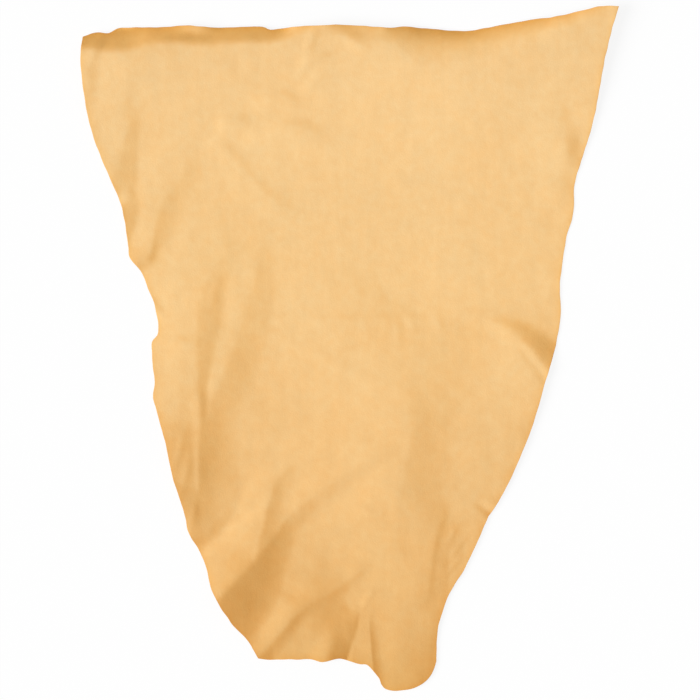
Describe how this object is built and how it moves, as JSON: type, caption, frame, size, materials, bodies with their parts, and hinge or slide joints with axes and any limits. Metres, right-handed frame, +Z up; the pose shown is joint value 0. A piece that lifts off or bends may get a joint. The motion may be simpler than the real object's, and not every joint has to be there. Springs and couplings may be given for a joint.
{
  "type": "chamois skin",
  "caption": "Whole hide of soft ochre suede chamois leather with an irregular outline and a neck lobe, lying loosely in folds, for drying and polishing.",
  "frame": {"origin": "on the surface that the skin lies on, under the middle of its bounding box", "axes": "+X across the skin to the right, +Y along it from the neck to the straight rump edge, +Z up out of the surface"},
  "size_m": [0.614, 0.7822, 0.017],
  "materials": {
    "suede": "matt napped suede, ochre yellow, paler at the rump and deeper at the neck"
  },
  "bodies": {
    "root": {"chamois_skin": "suede"}
  },
  "joints": []
}
